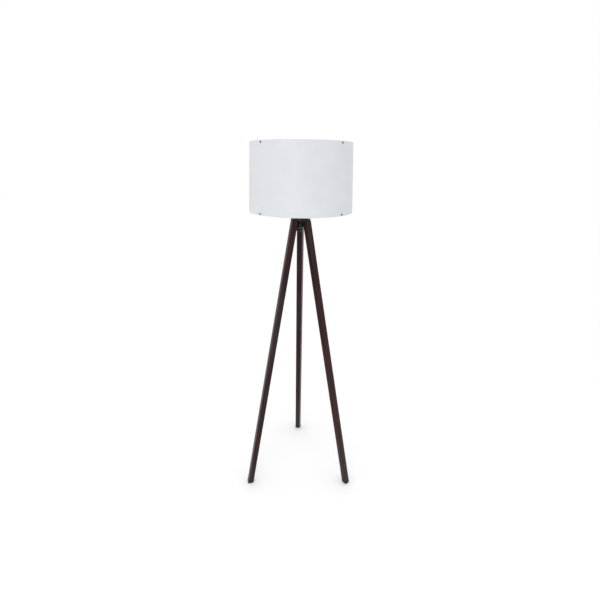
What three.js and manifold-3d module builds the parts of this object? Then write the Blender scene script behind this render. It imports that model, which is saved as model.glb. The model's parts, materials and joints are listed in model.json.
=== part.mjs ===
// A tripod floor lamp: three square wooden legs screwed into a turned hub, and a drum shade of rolled
// white sheet on two four-armed spiders, the lower one clamped to an E27 lampholder.
// Millimetres, +Z up, +Y to the back. The feet stand on z = 0, and the origin is the middle of the
// lamp's footprint box, so the lamp's own axis stands a little in front of it.
import * as THREE from "three";
import { mergeVertices } from "three/addons/utils/BufferGeometryUtils.js";
import Module from "manifold-3d";

const wasm = await Module();
wasm.setup();

// Whole lamp
const HEIGHT = 1450;
const AXIS_Y = -36.4;
const GAP = 0.3;

// Shade: a slightly flared drum of rolled sheet, lapped and glued at the back
const SHADE_BOTTOM_Z = 1208;
const SHADE_TOP_RADIUS = 185;
const SHADE_BOTTOM_RADIUS = 195;
const SHEET = 1.2;
const LAP_WIDTH = 16;
const LAP_RAMP = 30;
const SHEET_STEPS = 96;
const SCREW_INSET = 6;
const ARM_HALF_ANGLE = THREE.MathUtils.degToRad(46.5);
const ARM_WIDTH = 22;
const SPIDER_THICKNESS = 6;
const SPIDER_DISC_RADIUS = 45;
const LOWER_SPIDER_HOLE = 21;
const UPPER_SPIDER_HOLE = 33;
const SHADE_SCREW = { headRadius: 3, headHeight: 1.8, shankRadius: 1.3, length: 14 };
const SCREW_BORE = { radius: 1.6, overrun: 5 };

// Legs: square bars, each turned about its own axis (in degrees) to where its thread comes up tight
const FOOT_RADIUS = 254.3;
const LEG_TOP_RADIUS = 27;
const LEG_SIDE = 23;
const LEG_EDGE = 1;
const LEG_END_BEVEL = 1.5;
const LEG_TWIST = { back: -18, left: -9, right: -17 };
const PAD_HEIGHT = 9;
const PAD_PEG = { radius: 3, length: 14 };
const LEGS = { back: 90, left: 210, right: 330 };

// Hub: a flat turned disc with a shallow cone underneath, and between the legs a stem that widens
// downwards, just clear of the legs' corners as they turn
const HUB_RADIUS = 38;
const HUB_RIM_Z = 1178;
const HUB_TOP_Z = 1192;
const HUB_EDGE = 1;
const STEM = { topRadius: 11.2, bottomRadius: 15.6, bottomZ: 1150 };
const NIPPLE_HOLE_RADIUS = 5.3;

// Leg fastening: an M8 hanger bolt in each leg, a threaded insert in the hub
const BOLT = { radius: 3.9, threadLength: 12.5, woodRadius: 3.4, woodLength: 38 };
const INSERT = { outerRadius: 6, boreRadius: 4.3, mouth: 0.8, top: 14 };

// Lampholder stack on the M10 nipple
const NIPPLE = { outerRadius: 4.9, boreRadius: 3.9, bottomZ: 1141, topZ: 1201 };
const NUT_HEIGHT = 4.5;
const NUT_ACROSS_CORNERS = 16.2;
const WASHER = { innerRadius: 5.2, outerRadius: 11, height: 1.3 };
const CAP = { radius: 19, spigotRadius: 17.3, boreRadius: 15.9, floor: 3.3, height: 13.7, spigotTop: 19.7 };
const SHELL = { boreRadius: 17.6, flangeRadius: 26, flangeHeight: 3.9, radius: 19.6, height: 37 };
const SHELL_THREAD = { radius: 20.3, turns: 5, pitch: 4.6 };
const RING = { innerRadius: 20.9, outerRadius: 27, height: 7, lobes: 20, lobeDepth: 1.2 };
const CORE = { radius: 15.5, bottomZ: 1203, topZ: 1215.5 };
const TERMINAL = { offset: 10.5, headRadius: 2.6, headHeight: 1.8, shankRadius: 1.4, length: 7 };
const SLEEVE = { innerRadius: 13.8, outerRadius: 14.3, lipRadius: 11.6, height: 22 };

// Cord inlet: a side outlet under the stem, pointing out between the back and the left leg
const INLET = { radius: 7.5, topZ: 1142.8, bottomZ: 1129.5, spoutZ: 1135.2, reach: 31 };
const INLET_AZIMUTH = THREE.MathUtils.degToRad(150);
const SPOUT_OUTER = { width: 7.4, height: 4.6 };
const SPOUT_BORE = { width: 5.4, height: 3.2 };

// Bulb: E27 base and a 60 mm globe
const BULB_TIP_Z = 1218.7;
const BULB_BASE = { radius: 13.2, skirtHeight: 4.6, neckZ: 1245, recessZ: 1238, recessRadius: 12.5 };
const BULB_THREAD = { turns: 4, pitch: 3.6, depth: 0.8 };
const BULB_GLOBE = { radius: 30, centreZ: 1297, neckRadius: 12.1, wall: 1 };

// Values that follow from the ones above
const LEG_SLOPE = (FOOT_RADIUS - LEG_TOP_RADIUS) / HUB_RIM_Z;
const SPLAY = Math.atan(LEG_SLOPE);
const hubUndersideZ = (radius) => HUB_RIM_Z - (HUB_RADIUS - radius) * LEG_SLOPE;
const LEG_TOP_Z = hubUndersideZ(LEG_TOP_RADIUS) - GAP;
const LEG_LENGTH = LEG_TOP_Z / Math.cos(SPLAY) + LEG_SIDE;
const CAP_BOTTOM_Z = HUB_TOP_Z + GAP;
const SHELL_BOTTOM_Z = CAP_BOTTOM_Z + CAP.height + GAP;
const FLANGE_TOP_Z = SHELL_BOTTOM_Z + SHELL.flangeHeight;
const LOWER_SPIDER_Z = FLANGE_TOP_Z + GAP;
const UPPER_SPIDER_Z = HEIGHT - SCREW_INSET - SPIDER_THICKNESS / 2;
const RING_BOTTOM_Z = LOWER_SPIDER_Z + SPIDER_THICKNESS + GAP;
const shadeRadius = (z) =>
  THREE.MathUtils.mapLinear(z, SHADE_BOTTOM_Z, HEIGHT, SHADE_BOTTOM_RADIUS, SHADE_TOP_RADIUS);

const FINISH = {
  wood: { color: 0x3d2a28, roughness: 0.45, metalness: 0 },
  blackPaint: { color: 0x161412, roughness: 0.4, metalness: 0 },
  blackPlastic: { color: 0x131313, roughness: 0.5, metalness: 0 },
  rubber: { color: 0x1a1a1a, roughness: 0.85, metalness: 0 },
  sheet: { color: 0xe8ebf0, roughness: 0.5, metalness: 0 },
  whitePaint: { color: 0xe4e2dc, roughness: 0.6, metalness: 0 },
  blackSteel: { color: 0x2a2622, roughness: 0.35, metalness: 0.9 },
  steel: { color: 0xa9abad, roughness: 0.35, metalness: 1 },
  brass: { color: 0xc9a14a, roughness: 0.3, metalness: 1 },
  porcelain: { color: 0xefece4, roughness: 0.25, metalness: 0 },
  opalGlass: { color: 0xf7f5ef, roughness: 0.3, metalness: 0 },
};

const lamp = new THREE.Group();
lamp.position.y = AXIS_Y;

function addMesh(parent, name, geometry, finish) {
  const mesh = new THREE.Mesh(geometry, new THREE.MeshStandardMaterial(FINISH[finish]));
  mesh.name = name;
  parent.add(mesh);
  return mesh;
}

// A closed geometry as a manifold-3d solid
function solidOf(geometry) {
  const bare = geometry.clone();
  bare.deleteAttribute("normal");
  bare.deleteAttribute("uv");
  const merged = mergeVertices(bare, 1e-3);
  const mesh = new wasm.Mesh({
    numProp: 3,
    vertProperties: merged.attributes.position.array,
    triVerts: new Uint32Array(merged.index.array),
  });
  return new wasm.Manifold(mesh);
}

function geometryOf(solid) {
  const mesh = solid.getMesh();
  const geometry = new THREE.BufferGeometry();
  geometry.setAttribute("position", new THREE.BufferAttribute(mesh.vertProperties, 3));
  geometry.setIndex(new THREE.BufferAttribute(mesh.triVerts, 1));
  geometry.computeVertexNormals();
  return geometry;
}

function cut(geometry, tools) {
  return geometryOf(tools.reduce((solid, tool) => solid.subtract(solidOf(tool)), solidOf(geometry)));
}

function join(geometries) {
  return geometryOf(geometries.map(solidOf).reduce((whole, solid) => whole.add(solid)));
}

// A solid of revolution about Z: the profile runs up the outside, as [radius, z] pairs
function turned(profile, segments = 24) {
  const points = profile.map(([radius, z]) => new THREE.Vector2(radius, z));
  return new THREE.LatheGeometry(points, segments).rotateX(Math.PI / 2);
}

function turnedTube(innerRadius, outerRadius, bottomZ, topZ, segments = 24) {
  const corners = [
    [innerRadius, bottomZ],
    [outerRadius, bottomZ],
    [outerRadius, topZ],
    [innerRadius, topZ],
    [innerRadius, bottomZ],
  ];
  return turned(corners, segments);
}

// A cylinder along Z between two heights
function rod(radius, bottomZ, topZ, segments = 16) {
  const geometry = new THREE.CylinderGeometry(radius, radius, topZ - bottomZ, segments);
  return geometry.rotateX(Math.PI / 2).translate(0, 0, (bottomZ + topZ) / 2);
}

function extruded(shape, bottomZ, height, options = {}) {
  const settings = { depth: height, bevelEnabled: false, curveSegments: 12, ...options };
  return new THREE.ExtrudeGeometry(shape, settings).translate(0, 0, bottomZ);
}

function roundHole(radius) {
  return new THREE.Path().absarc(0, 0, radius, 0, 2 * Math.PI, true);
}

function hexNut(bottomZ) {
  const shape = new THREE.Shape();
  for (let corner = 0; corner < 6; corner++) {
    const angle = (corner * Math.PI) / 3;
    const x = (NUT_ACROSS_CORNERS / 2) * Math.cos(angle);
    const y = (NUT_ACROSS_CORNERS / 2) * Math.sin(angle);
    if (corner === 0) shape.moveTo(x, y);
    else shape.lineTo(x, y);
  }
  shape.closePath();
  shape.holes.push(roundHole(WASHER.innerRadius));
  return extruded(shape, bottomZ, NUT_HEIGHT);
}

// ---- Shade ----

// The rolled sheet: one strip that goes once round and laps over its own start at the back
function shadeSheet() {
  const meanRadius = (SHADE_TOP_RADIUS + SHADE_BOTTOM_RADIUS) / 2;
  const lapAngle = LAP_WIDTH / meanRadius;
  const rampAngle = LAP_RAMP / meanRadius;
  const start = Math.PI / 2 - lapAngle / 2;
  const sweep = 2 * Math.PI + lapAngle;
  const rampStart = 2 * Math.PI - rampAngle;
  const positions = [];
  const index = [];
  for (let step = 0; step <= SHEET_STEPS; step++) {
    const turn = (sweep * step) / SHEET_STEPS;
    const lift = (SHEET + GAP) * THREE.MathUtils.smoothstep(turn, rampStart, 2 * Math.PI);
    const across = new THREE.Vector2(Math.cos(start + turn), Math.sin(start + turn));
    const rims = [
      [SHADE_BOTTOM_RADIUS - SHEET, SHADE_BOTTOM_Z],
      [SHADE_BOTTOM_RADIUS, SHADE_BOTTOM_Z],
      [SHADE_TOP_RADIUS, HEIGHT],
      [SHADE_TOP_RADIUS - SHEET, HEIGHT],
    ];
    for (const [radius, z] of rims) {
      positions.push(across.x * (radius + lift), across.y * (radius + lift), z);
    }
  }
  for (let step = 0; step < SHEET_STEPS; step++) {
    for (let side = 0; side < 4; side++) {
      const a = step * 4 + side;
      const b = step * 4 + ((side + 1) % 4);
      index.push(a, a + 4, b + 4, a, b + 4, b);
    }
  }
  const end = SHEET_STEPS * 4;
  index.push(0, 1, 2, 0, 2, 3);
  index.push(end, end + 2, end + 1, end, end + 3, end + 2);
  const geometry = new THREE.BufferGeometry();
  geometry.setAttribute("position", new THREE.Float32BufferAttribute(positions, 3));
  geometry.setIndex(index);
  return geometry;
}

const ARMS = {
  front_right: ARM_HALF_ANGLE - Math.PI / 2,
  back_right: Math.PI / 2 - ARM_HALF_ANGLE,
  back_left: Math.PI / 2 + ARM_HALF_ANGLE,
  front_left: -Math.PI / 2 - ARM_HALF_ANGLE,
};

// Something made along +X, turned to point out along an arm at height z
function alongArm(geometry, arm, z) {
  return geometry.rotateZ(ARMS[arm]).translate(0, 0, z);
}

function screwBore(arm, z, innerRadius) {
  const length = shadeRadius(z) + SCREW_BORE.overrun - innerRadius;
  const bore = new THREE.CylinderGeometry(SCREW_BORE.radius, SCREW_BORE.radius, length, 10);
  return alongArm(bore.rotateZ(Math.PI / 2).translate(innerRadius + length / 2, 0, 0), arm, z);
}

// A flat spider: a disc with a round hole and four arms that stop just inside the sheet
function spider(bottomZ, holeRadius) {
  const middleZ = bottomZ + SPIDER_THICKNESS / 2;
  const reach = shadeRadius(bottomZ + SPIDER_THICKNESS) - SHEET - 2 * GAP;
  const pieces = [rod(SPIDER_DISC_RADIUS, bottomZ, bottomZ + SPIDER_THICKNESS, 40)];
  const cuts = [rod(holeRadius, bottomZ - 1, bottomZ + SPIDER_THICKNESS + 1, 32)];
  for (const arm of Object.keys(ARMS)) {
    const bar = new THREE.BoxGeometry(reach - holeRadius, ARM_WIDTH, SPIDER_THICKNESS);
    pieces.push(alongArm(bar.translate((reach + holeRadius) / 2, 0, 0), arm, middleZ));
    cuts.push(screwBore(arm, middleZ, reach - SHADE_SCREW.length - 2));
  }
  return cut(join(pieces), cuts);
}

function shadeScrew(arm, z) {
  const { headRadius, headHeight, shankRadius, length } = SHADE_SCREW;
  const seat = shadeRadius(z) + 2 * GAP;
  const profile = [
    [0, -length],
    [shankRadius, -length + 3],
    [shankRadius, 0],
    [headRadius, 0],
    [headRadius, headHeight * 0.4],
    [headRadius * 0.6, headHeight],
    [0, headHeight],
  ];
  return alongArm(turned(profile, 12).rotateY(Math.PI / 2).translate(seat, 0, 0), arm, z);
}

function buildShade() {
  const rows = { bottom: LOWER_SPIDER_Z, top: UPPER_SPIDER_Z };
  const holes = [];
  for (const [row, bottomZ] of Object.entries(rows)) {
    const z = bottomZ + SPIDER_THICKNESS / 2;
    for (const arm of Object.keys(ARMS)) {
      holes.push(screwBore(arm, z, SHADE_TOP_RADIUS - 10));
      addMesh(lamp, `shade_screw_${row}_${arm}`, shadeScrew(arm, z), "blackSteel");
    }
  }
  addMesh(lamp, "shade_sheet", cut(shadeSheet(), holes), "sheet");
  addMesh(lamp, "lower_spider", spider(LOWER_SPIDER_Z, LOWER_SPIDER_HOLE), "whitePaint");
  addMesh(lamp, "upper_spider", spider(UPPER_SPIDER_Z, UPPER_SPIDER_HOLE), "whitePaint");
}

// ---- Legs: each is built in its own frame, origin at the top face, +Z up along the leg ----

function legFrame(azimuth) {
  const turn = new THREE.Group();
  turn.rotation.z = THREE.MathUtils.degToRad(azimuth);
  const tilt = new THREE.Group();
  tilt.position.set(LEG_TOP_RADIUS, 0, LEG_TOP_Z);
  tilt.rotation.y = -SPLAY;
  turn.add(tilt);
  lamp.add(turn);
  return tilt;
}

function legBar(side) {
  const half = LEG_SIDE / 2 - LEG_END_BEVEL;
  const inner = half - LEG_EDGE;
  const shape = new THREE.Shape();
  shape.moveTo(half, -inner);
  shape.lineTo(half, inner).lineTo(inner, half).lineTo(-inner, half).lineTo(-half, inner);
  shape.lineTo(-half, -inner).lineTo(-inner, -half).lineTo(inner, -half).closePath();
  const bevel = {
    bevelEnabled: true,
    bevelThickness: LEG_END_BEVEL,
    bevelSize: LEG_END_BEVEL,
    bevelSegments: 1,
  };
  const plain = LEG_LENGTH - 2 * LEG_END_BEVEL;
  const bar = extruded(shape, LEG_END_BEVEL - LEG_LENGTH, plain, bevel);
  return bar.rotateZ(THREE.MathUtils.degToRad(LEG_TWIST[side]));
}

// A level slab between two heights above the floor, in a leg's frame
function levelSlab(lowZ, highZ) {
  const width = 200;
  const slab = new THREE.BoxGeometry(width, width, highZ - lowZ);
  slab.translate(FOOT_RADIUS - LEG_TOP_RADIUS, 0, (lowZ + highZ) / 2 - LEG_TOP_Z);
  return slab.rotateY(SPLAY);
}

function wholeLeg(side) {
  const peg = rod(PAD_PEG.radius + GAP, -LEG_LENGTH, padPegTop() + 1);
  const bore = rod(BOLT.woodRadius + GAP, -BOLT.woodLength - 2, 1);
  return cut(legBar(side), [levelSlab(-100, PAD_HEIGHT + GAP), peg, bore]);
}

function padPegTop() {
  return PAD_PEG.length - (LEG_TOP_Z - PAD_HEIGHT) / Math.cos(SPLAY);
}

function footPad(side) {
  const sole = solidOf(legBar(side)).intersect(solidOf(levelSlab(0, PAD_HEIGHT)));
  const peg = rod(PAD_PEG.radius, padPegTop() - PAD_PEG.length - 4, padPegTop());
  return geometryOf(sole.add(solidOf(peg)));
}

function hangerBolt() {
  const profile = [
    [0, -BOLT.woodLength],
    [1, -BOLT.woodLength + 1],
    [BOLT.woodRadius, -BOLT.woodLength + 6],
    [BOLT.woodRadius, -2],
    [BOLT.woodRadius - 0.6, -1],
    [BOLT.woodRadius - 0.6, 0.5],
    [BOLT.radius, 1.5],
    [BOLT.radius, BOLT.threadLength - 1],
    [BOLT.radius - 1, BOLT.threadLength],
    [0, BOLT.threadLength],
  ];
  return turned(profile, 12);
}

function buildLeg(side, azimuth) {
  const frame = legFrame(azimuth);
  const insert = turnedTube(INSERT.boreRadius, INSERT.outerRadius, INSERT.mouth, INSERT.top, 16);
  addMesh(frame, `leg_insert_${side}`, insert, "steel");
  addMesh(frame, `leg_bolt_${side}`, hangerBolt(), "steel");
  addMesh(frame, `leg_${side}`, wholeLeg(side), "wood");
  addMesh(frame, `foot_pad_${side}`, footPad(side), "rubber");
}

// ---- Hub and lampholder ----

// The blind bore in the hub for a leg's threaded insert, in the lamp's frame
function insertBore(azimuth) {
  const bore = rod(INSERT.outerRadius + GAP, -6, INSERT.top + GAP);
  bore.rotateY(-SPLAY).translate(LEG_TOP_RADIUS, 0, LEG_TOP_Z);
  return bore.rotateZ(THREE.MathUtils.degToRad(azimuth));
}

function hub() {
  const profile = [
    [NIPPLE_HOLE_RADIUS, STEM.bottomZ],
    [STEM.bottomRadius - HUB_EDGE, STEM.bottomZ],
    [STEM.bottomRadius, STEM.bottomZ + HUB_EDGE],
    [STEM.topRadius, hubUndersideZ(STEM.topRadius)],
    [HUB_RADIUS - HUB_EDGE, hubUndersideZ(HUB_RADIUS - HUB_EDGE)],
    [HUB_RADIUS, HUB_RIM_Z + HUB_EDGE],
    [HUB_RADIUS, HUB_TOP_Z - HUB_EDGE],
    [HUB_RADIUS - HUB_EDGE, HUB_TOP_Z],
    [NIPPLE_HOLE_RADIUS, HUB_TOP_Z],
    [NIPPLE_HOLE_RADIUS, STEM.bottomZ],
  ];
  return cut(turned(profile, 48), Object.values(LEGS).map(insertBore));
}

function buildNipple() {
  const tube = turnedTube(NIPPLE.boreRadius, NIPPLE.outerRadius, NIPPLE.bottomZ, NIPPLE.topZ, 16);
  const washerZ = STEM.bottomZ - GAP - WASHER.height;
  const washerTop = washerZ + WASHER.height;
  const washer = turnedTube(WASHER.innerRadius, WASHER.outerRadius, washerZ, washerTop, 20);
  addMesh(lamp, "nipple", tube, "blackSteel");
  addMesh(lamp, "nipple_washer", washer, "blackSteel");
  addMesh(lamp, "nipple_lower_nut", hexNut(washerZ - GAP - NUT_HEIGHT), "blackSteel");
  addMesh(lamp, "nipple_upper_nut", hexNut(CAP_BOTTOM_Z + CAP.floor + GAP), "blackSteel");
}

// A flat oval, for the spout and its bore, extruded out along +X from the lamp's axis
function ovalBar({ width, height }, length) {
  const radius = height / 2;
  const flat = width / 2 - radius;
  const shape = new THREE.Shape();
  shape.absarc(flat, 0, radius, -Math.PI / 2, Math.PI / 2);
  shape.absarc(-flat, 0, radius, Math.PI / 2, (3 * Math.PI) / 2);
  const bar = extruded(shape, 0, length, { curveSegments: 5 });
  return bar.rotateX(Math.PI / 2).rotateZ(Math.PI / 2).rotateZ(INLET_AZIMUTH).translate(0, 0, INLET.spoutZ);
}

function cordInlet() {
  const profile = [
    [0, INLET.bottomZ],
    [INLET.radius - 2, INLET.bottomZ],
    [INLET.radius, INLET.bottomZ + 2],
    [INLET.radius, INLET.topZ],
    [0, INLET.topZ],
  ];
  const socket = rod(NIPPLE.outerRadius + GAP, INLET.spoutZ - SPOUT_BORE.height / 2, INLET.topZ + 1);
  const body = join([turned(profile), ovalBar(SPOUT_OUTER, INLET.reach)]);
  return cut(body, [socket, ovalBar(SPOUT_BORE, INLET.reach + 1)]);
}

function lampholderCap() {
  const bottom = CAP_BOTTOM_Z;
  const ledge = CORE.bottomZ - GAP;
  const profile = [
    [NIPPLE_HOLE_RADIUS, bottom],
    [CAP.radius - 2, bottom],
    [CAP.radius, bottom + 2],
    [CAP.radius, bottom + CAP.height],
    [CAP.spigotRadius, bottom + CAP.height],
    [CAP.spigotRadius, bottom + CAP.spigotTop],
    [CAP.boreRadius, bottom + CAP.spigotTop],
    [CAP.boreRadius, ledge],
    [CAP.boreRadius - 2, ledge],
    [CAP.boreRadius - 2, bottom + CAP.floor],
    [NIPPLE_HOLE_RADIUS, bottom + CAP.floor],
    [NIPPLE_HOLE_RADIUS, bottom],
  ];
  return turned(profile, 28);
}

// The outer shell: a flange under the spider and a coarse thread for the shade ring
function lampholderShell() {
  const top = SHELL_BOTTOM_Z + SHELL.height;
  const profile = [
    [SHELL.boreRadius, SHELL_BOTTOM_Z],
    [SHELL.flangeRadius - 1, SHELL_BOTTOM_Z],
    [SHELL.flangeRadius, SHELL_BOTTOM_Z + 1],
    [SHELL.flangeRadius, FLANGE_TOP_Z],
    [SHELL.radius, FLANGE_TOP_Z],
  ];
  for (let thread = 0; thread < SHELL_THREAD.turns; thread++) {
    const z = FLANGE_TOP_Z + 2 + thread * SHELL_THREAD.pitch;
    profile.push([SHELL.radius, z], [SHELL_THREAD.radius, z + 1]);
    profile.push([SHELL_THREAD.radius, z + 2], [SHELL.radius, z + 3]);
  }
  profile.push([SHELL.radius, top - 2], [SHELL.radius - 1, top], [SHELL.boreRadius, top]);
  profile.push([SHELL.boreRadius, SHELL_BOTTOM_Z]);
  return turned(profile, 28);
}

function shadeRing() {
  const shape = new THREE.Shape();
  const steps = RING.lobes * 4;
  for (let step = 0; step < steps; step++) {
    const angle = (2 * Math.PI * step) / steps;
    const radius = RING.outerRadius - (RING.lobeDepth * (1 - Math.cos(RING.lobes * angle))) / 2;
    const x = radius * Math.cos(angle);
    const y = radius * Math.sin(angle);
    if (step === 0) shape.moveTo(x, y);
    else shape.lineTo(x, y);
  }
  shape.closePath();
  shape.holes.push(roundHole(RING.innerRadius));
  return extruded(shape, RING_BOTTOM_Z, RING.height);
}

function porcelainCore() {
  const profile = [
    [0, CORE.bottomZ],
    [CORE.radius, CORE.bottomZ],
    [CORE.radius, CORE.topZ - 3],
    [SLEEVE.outerRadius, CORE.topZ - 3],
    [SLEEVE.outerRadius, CORE.topZ],
    [0, CORE.topZ],
  ];
  const bores = [-1, 1].map((side) => {
    const bore = rod(TERMINAL.shankRadius + GAP, CORE.bottomZ - 1, CORE.bottomZ + TERMINAL.length + 1, 12);
    return bore.translate(side * TERMINAL.offset, 0, 0);
  });
  return cut(turned(profile), bores);
}

function terminalScrew(side) {
  const head = CORE.bottomZ - GAP - TERMINAL.headHeight;
  const profile = [
    [0, head],
    [TERMINAL.headRadius, head],
    [TERMINAL.headRadius, CORE.bottomZ - GAP],
    [TERMINAL.shankRadius, CORE.bottomZ - GAP],
    [TERMINAL.shankRadius, CORE.bottomZ + TERMINAL.length],
    [0, CORE.bottomZ + TERMINAL.length],
  ];
  return turned(profile, 16).translate(side * TERMINAL.offset, 0, 0);
}

function screwSleeve() {
  const bottom = CORE.topZ + GAP;
  const floor = 0.6;
  const profile = [
    [SLEEVE.lipRadius, bottom],
    [SLEEVE.outerRadius, bottom],
    [SLEEVE.outerRadius, bottom + SLEEVE.height],
    [SLEEVE.innerRadius, bottom + SLEEVE.height],
    [SLEEVE.innerRadius, bottom + floor],
    [SLEEVE.lipRadius, bottom + floor],
    [SLEEVE.lipRadius, bottom],
  ];
  return turned(profile);
}

// The sprung centre contact: a flat strip that rises under the bulb's tip
function centreContact() {
  const width = 5;
  const strip = 0.5;
  const path = [
    [-8, 0],
    [-3, 0],
    [1.5, 2],
    [4, 1.4],
  ];
  const shape = new THREE.Shape();
  path.forEach(([x, z], corner) => (corner ? shape.lineTo(x, z) : shape.moveTo(x, z)));
  path.reverse().forEach(([x, z]) => shape.lineTo(x, z + strip));
  shape.closePath();
  const bar = extruded(shape, -width / 2, width);
  return bar.rotateX(Math.PI / 2).translate(0, 0, CORE.topZ + GAP);
}

function buildLampholder() {
  addMesh(lamp, "lampholder_cap", lampholderCap(), "blackPlastic");
  addMesh(lamp, "lampholder_shell", lampholderShell(), "blackPlastic");
  addMesh(lamp, "shade_ring", shadeRing(), "blackPlastic");
  addMesh(lamp, "lampholder_core", porcelainCore(), "porcelain");
  addMesh(lamp, "terminal_screw_live", terminalScrew(1), "brass");
  addMesh(lamp, "terminal_screw_neutral", terminalScrew(-1), "brass");
  addMesh(lamp, "lampholder_sleeve", screwSleeve(), "brass");
  addMesh(lamp, "centre_contact", centreContact(), "brass");
}

// ---- Bulb ----

function bulbBase() {
  const { radius, neckZ, recessZ, recessRadius } = BULB_BASE;
  const skirtZ = BULB_TIP_Z + BULB_BASE.skirtHeight;
  const profile = [
    [0, skirtZ],
    [10, skirtZ],
    [radius, skirtZ + 1.2],
  ];
  for (let thread = 0; thread < BULB_THREAD.turns; thread++) {
    const z = skirtZ + 2.4 + thread * BULB_THREAD.pitch;
    profile.push([radius - BULB_THREAD.depth, z], [radius, z + BULB_THREAD.pitch / 2]);
  }
  profile.push([radius - 0.2, recessZ], [radius, neckZ], [recessRadius, neckZ]);
  profile.push([recessRadius, recessZ], [0, recessZ]);
  return turned(profile);
}

function bulbInsulator() {
  const profile = [
    [0, BULB_TIP_Z + 1.1],
    [5.5, BULB_TIP_Z + 1.1],
    [9.2, BULB_TIP_Z + 3.4],
    [9.2, BULB_TIP_Z + 4.3],
    [0, BULB_TIP_Z + 4.3],
  ];
  return turned(profile, 24);
}

function bulbTip() {
  const profile = [
    [0, BULB_TIP_Z],
    [3, BULB_TIP_Z],
    [4.4, BULB_TIP_Z + 0.4],
    [4.4, BULB_TIP_Z + 0.8],
    [0, BULB_TIP_Z + 0.8],
  ];
  return turned(profile, 20);
}

// The globe: a blown shell, open at the neck where it sits in the base
function bulbGlass() {
  const { radius, centreZ, neckRadius, wall } = BULB_GLOBE;
  const neckZ = BULB_BASE.recessZ + GAP;
  const lowAngle = THREE.MathUtils.degToRad(-42);
  const arcSteps = 9;
  const outside = [
    [neckRadius, neckZ],
    [neckRadius, BULB_BASE.neckZ + 3],
    [neckRadius + 2.4, BULB_BASE.neckZ + 15],
  ];
  for (let step = 0; step <= arcSteps; step++) {
    const angle = THREE.MathUtils.lerp(lowAngle, Math.PI / 2, step / arcSteps);
    outside.push([radius * Math.cos(angle), centreZ + radius * Math.sin(angle)]);
  }
  outside[outside.length - 1][0] = 0;
  const inside = outside.map(([r, z]) => [Math.max(r - wall, 0), z]).reverse();
  inside[0][1] -= wall;
  return turned([...outside, ...inside, outside[0]]);
}

function buildBulb() {
  addMesh(lamp, "bulb_base", bulbBase(), "steel");
  addMesh(lamp, "bulb_insulator", bulbInsulator(), "blackPlastic");
  addMesh(lamp, "bulb_tip", bulbTip(), "steel");
  addMesh(lamp, "bulb_glass", bulbGlass(), "opalGlass");
}

addMesh(lamp, "hub", hub(), "blackPaint");
buildNipple();
addMesh(lamp, "cord_inlet", cordInlet(), "blackPlastic");
for (const [side, azimuth] of Object.entries(LEGS)) buildLeg(side, azimuth);
buildLampholder();
buildShade();
buildBulb();

const root = new THREE.Group();
root.add(lamp);

export default root;
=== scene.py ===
"""The looks of a tripod floor lamp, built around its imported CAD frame.

Metres, +Z up, +Y to the back. Every piece is placed from the frame's boxes and joints.
"""
import json
import math

import bmesh
import bpy
from mathutils import Matrix, Vector


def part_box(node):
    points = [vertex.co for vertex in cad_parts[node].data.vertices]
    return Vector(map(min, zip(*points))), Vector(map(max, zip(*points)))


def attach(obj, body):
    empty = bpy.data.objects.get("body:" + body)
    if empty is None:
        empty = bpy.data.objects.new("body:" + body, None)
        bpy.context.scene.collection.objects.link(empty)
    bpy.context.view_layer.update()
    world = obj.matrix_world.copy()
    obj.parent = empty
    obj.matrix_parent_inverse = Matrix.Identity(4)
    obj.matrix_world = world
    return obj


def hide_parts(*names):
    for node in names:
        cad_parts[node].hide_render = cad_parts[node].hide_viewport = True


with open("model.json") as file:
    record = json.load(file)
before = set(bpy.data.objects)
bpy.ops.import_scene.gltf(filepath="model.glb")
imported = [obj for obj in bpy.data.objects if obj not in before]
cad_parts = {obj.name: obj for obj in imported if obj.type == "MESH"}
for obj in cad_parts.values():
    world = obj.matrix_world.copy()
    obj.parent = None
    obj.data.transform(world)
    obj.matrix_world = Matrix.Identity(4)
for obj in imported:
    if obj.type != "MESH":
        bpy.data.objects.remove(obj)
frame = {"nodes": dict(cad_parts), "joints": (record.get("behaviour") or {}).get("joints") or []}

MM = 0.001
TAU = 2 * math.pi
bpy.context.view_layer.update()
JOINTS = {joint["name"]: joint for joint in frame["joints"]}
SIDES = ("back", "left", "right")
ROWS = ("bottom", "top")
ARMS = ("front_left", "front_right", "back_left", "back_right")


def centre(node):
    low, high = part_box(node)
    return (low + high) / 2


AXIS = Vector((centre("hub").x, centre("hub").y, 0))

# Camera, as the lamp is seen: just left of straight on, from shade height, tilted down
CAMERA_OFFSET = Vector((-0.0115, -1.4367, 1.3789))
CAMERA_PITCH = math.radians(20.30)
CAMERA_YAW = math.radians(0.50)
CAMERA_ROLL = math.radians(0.61)
CAMERA_LENS_MM = 22.15

# Shade sheet
SHADE_TOP_RADIUS = 185 * MM
SHEET = 1.2 * MM
SHEET_LAP = 16 * MM
SHEET_RAMP = 30 * MM
LAP_GAP = 0.3 * MM
SHADE_CLEARANCE = 0.6 * MM

# Legs
LEG_SIDE = 23 * MM
LEG_TWIST = {"back": math.radians(-18), "left": math.radians(-9), "right": math.radians(-17)}
LEG_EDGE_RADIUS = 1.4 * MM
PAD_HEIGHT = 9 * MM

# Bores, by radius
NIPPLE_HOLE = 5.3 * MM
NUT_BORE = 5.2 * MM
NIPPLE_BORE = 3.9 * MM
INSERT_BORE = 6.2 * MM
LEG_BORE = 3.7 * MM
RING_BORE = 20.9 * MM
SPIDER_HOLES = {"lower_spider": 21 * MM, "upper_spider": 33 * MM}
SPIDER_DISC = 45 * MM
SPIDER_ARM = 22 * MM
SPIDER_FILLET = 14 * MM

# Hub stem, a cone that widens downwards; it is wide enough to fill the dark between the legs' tops, so its black
# is partly a real part and partly painted shade
STEM_TOP = 11.2 * MM
STEM_BOTTOM = 15.6 * MM
HUB_THICKNESS = 14 * MM

# Cord inlet
SPOUT_AZIMUTH = math.radians(150)
SPOUT_REACH = 31 * MM

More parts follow.
